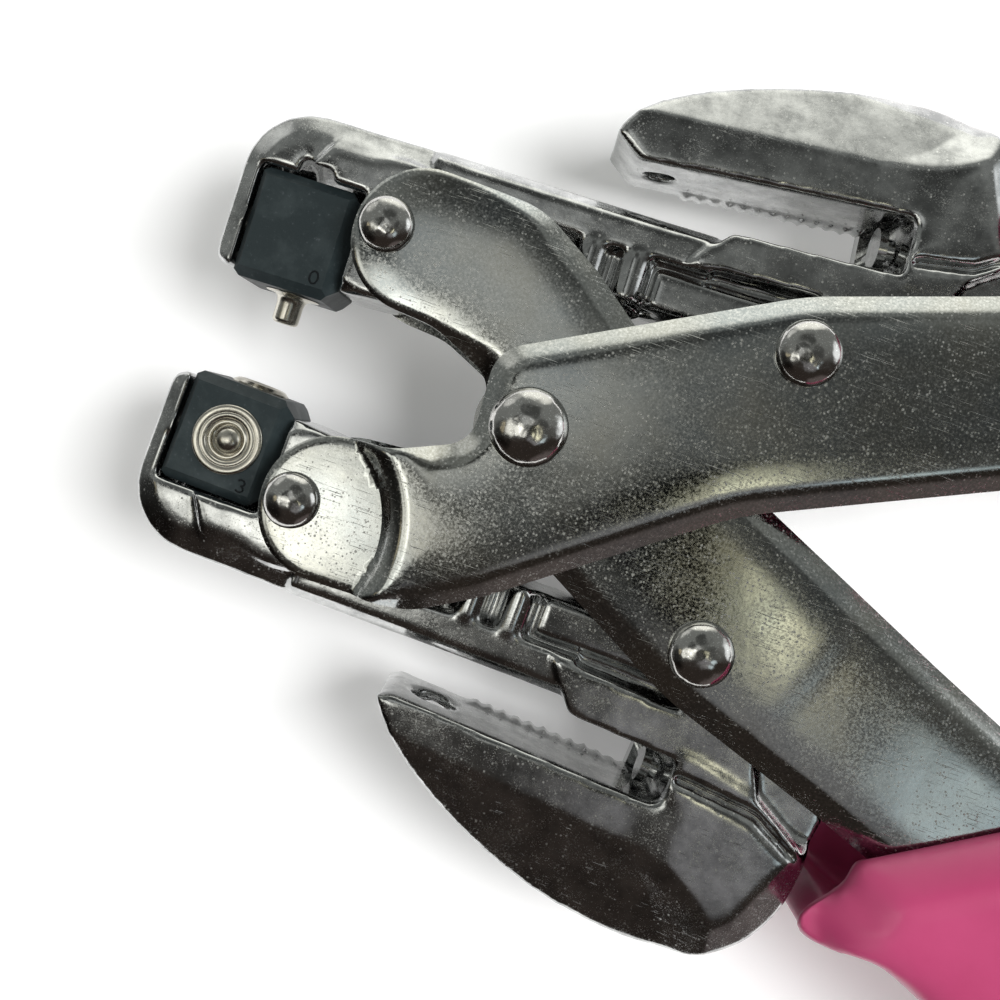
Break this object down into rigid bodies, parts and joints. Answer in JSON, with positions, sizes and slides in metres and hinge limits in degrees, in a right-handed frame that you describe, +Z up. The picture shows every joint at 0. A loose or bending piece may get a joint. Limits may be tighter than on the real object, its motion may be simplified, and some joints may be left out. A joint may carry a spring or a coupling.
{
  "type": "eyelet setting punch",
  "caption": "Parallel-action hand pliers with crossed plated levers, cast jaws, turning eyelet dies, side paper punches with throat slots and soft grips.",
  "frame": {"origin": "on the main pivot axis, on the flat of the rear main rivet head that the tool rests on", "axes": "+X along the tool from the dies to the handles, +Y towards the upper jaw, +Z up from the surface it lies on"},
  "size_m": [0.2051, 0.1598, 0.0248],
  "materials": {
    "nickel_plate": "nickel plated sheet, soft shine",
    "bright_steel": "polished domed heads",
    "plain_steel": "turned steel",
    "cast_chrome": "chromed casting, dark reflections",
    "black_oxide": "matte black oxide",
    "die_steel": "turned bare steel",
    "spring_wire": "spring steel",
    "pink_grip": "glossy moulded vinyl"
  },
  "bodies": {
    "lever_a": {"lever_a_front_plate": "nickel_plate", "lever_a_rear_plate": "nickel_plate", "grip_a": "pink_grip", "main_rivet": "bright_steel", "lower_jaw_rivet": "bright_steel", "upper_tail_rivet": "bright_steel", "front_tail_spacer": "plain_steel", "rear_tail_spacer": "plain_steel", "upper_punch_cam": "plain_steel"},
    "lever_b": {"lever_b_front_plate": "nickel_plate", "lever_b_rear_plate": "nickel_plate", "grip_b": "pink_grip", "lower_punch_cam": "plain_steel", "upper_jaw_rivet": "bright_steel", "lower_tail_rivet": "bright_steel"},
    "upper_jaw": {"upper_jaw": "cast_chrome", "upper_die_axle": "plain_steel", "upper_die_washer": "plain_steel", "upper_punch_spring": "spring_wire"},
    "lower_jaw": {"lower_jaw": "cast_chrome", "lower_die_axle": "plain_steel", "lower_die_washer": "plain_steel", "lower_punch_spring": "spring_wire"},
    "upper_die": {"upper_die_block": "black_oxide", "upper_setting_pin": "die_steel", "upper_flat_setter": "die_steel"},
    "lower_die": {"lower_die_block": "black_oxide", "lower_peg_anvil": "die_steel", "lower_ring_die": "die_steel"},
    "upper_punch": {"upper_punch": "plain_steel"},
    "lower_punch": {"lower_punch": "plain_steel"},
    "upper_depth_stop": {"upper_depth_stop": "cast_chrome"},
    "lower_depth_stop": {"lower_depth_stop": "cast_chrome"}
  },
  "joints": [
    {"name": "fold", "type": "hinge", "parent": "lever_a", "child": "lever_b", "pos_m": [0, 0, 0.0124], "axis": [0, 0, 1], "range_deg": [0, 25], "stiffness_Nm_per_rad": 0.6, "springref_deg": -11.46},
    {"name": "upper_jaw_pivot", "type": "hinge", "parent": "lever_b", "child": "upper_jaw", "pos_m": [-0.01966, 0.01428, 0.0124], "axis": [0, 0, 1], "range_deg": [-14.13, 0.5]},
    {"name": "lower_jaw_pivot", "type": "hinge", "parent": "lever_a", "child": "lower_jaw", "pos_m": [-0.01966, -0.01428, 0.0124], "axis": [0, 0, 1], "range_deg": [-0.5, 14.13]},
    {"name": "upper_punch_slide", "type": "slide", "parent": "upper_jaw", "child": "upper_punch", "axis": [-0.0284, 0.9996, 0], "range_m": [-0.0001, 0.0063], "deforming": ["upper_punch_spring"]},
    {"name": "lower_punch_slide", "type": "slide", "parent": "lower_jaw", "child": "lower_punch", "axis": [-0.0284, -0.9996, 0], "range_m": [-0.0001, 0.0063], "deforming": ["lower_punch_spring"]},
    {"name": "upper_die_turn", "type": "hinge", "parent": "upper_jaw", "child": "upper_die", "pos_m": [-0.02817, 0.01094, 0.0124], "axis": [0.9996, 0.0284, 0], "continuous": true},
    {"name": "lower_die_turn", "type": "hinge", "parent": "lower_jaw", "child": "lower_die", "pos_m": [-0.02817, -0.01094, 0.0124], "axis": [0.9996, -0.0284, 0], "continuous": true},
    {"name": "upper_depth_slide", "type": "slide", "parent": "upper_jaw", "child": "upper_depth_stop", "axis": [-0.9925, -0.1222, 0], "range_m": [0, 0.016]},
    {"name": "lower_depth_slide", "type": "slide", "parent": "lower_jaw", "child": "lower_depth_stop", "axis": [-0.9973, 0.0728, 0], "range_m": [0, 0.016]}
  ],
  "couplings": [
    {"joint": "upper_jaw_pivot", "follows": "fold", "ratio": -0.54503},
    {"joint": "lower_jaw_pivot", "follows": "fold", "ratio": 0.54503},
    {"joint": "upper_punch_slide", "follows": "fold", "m_per_rad": 0.014209},
    {"joint": "lower_punch_slide", "follows": "fold", "m_per_rad": 0.014209}
  ]
}
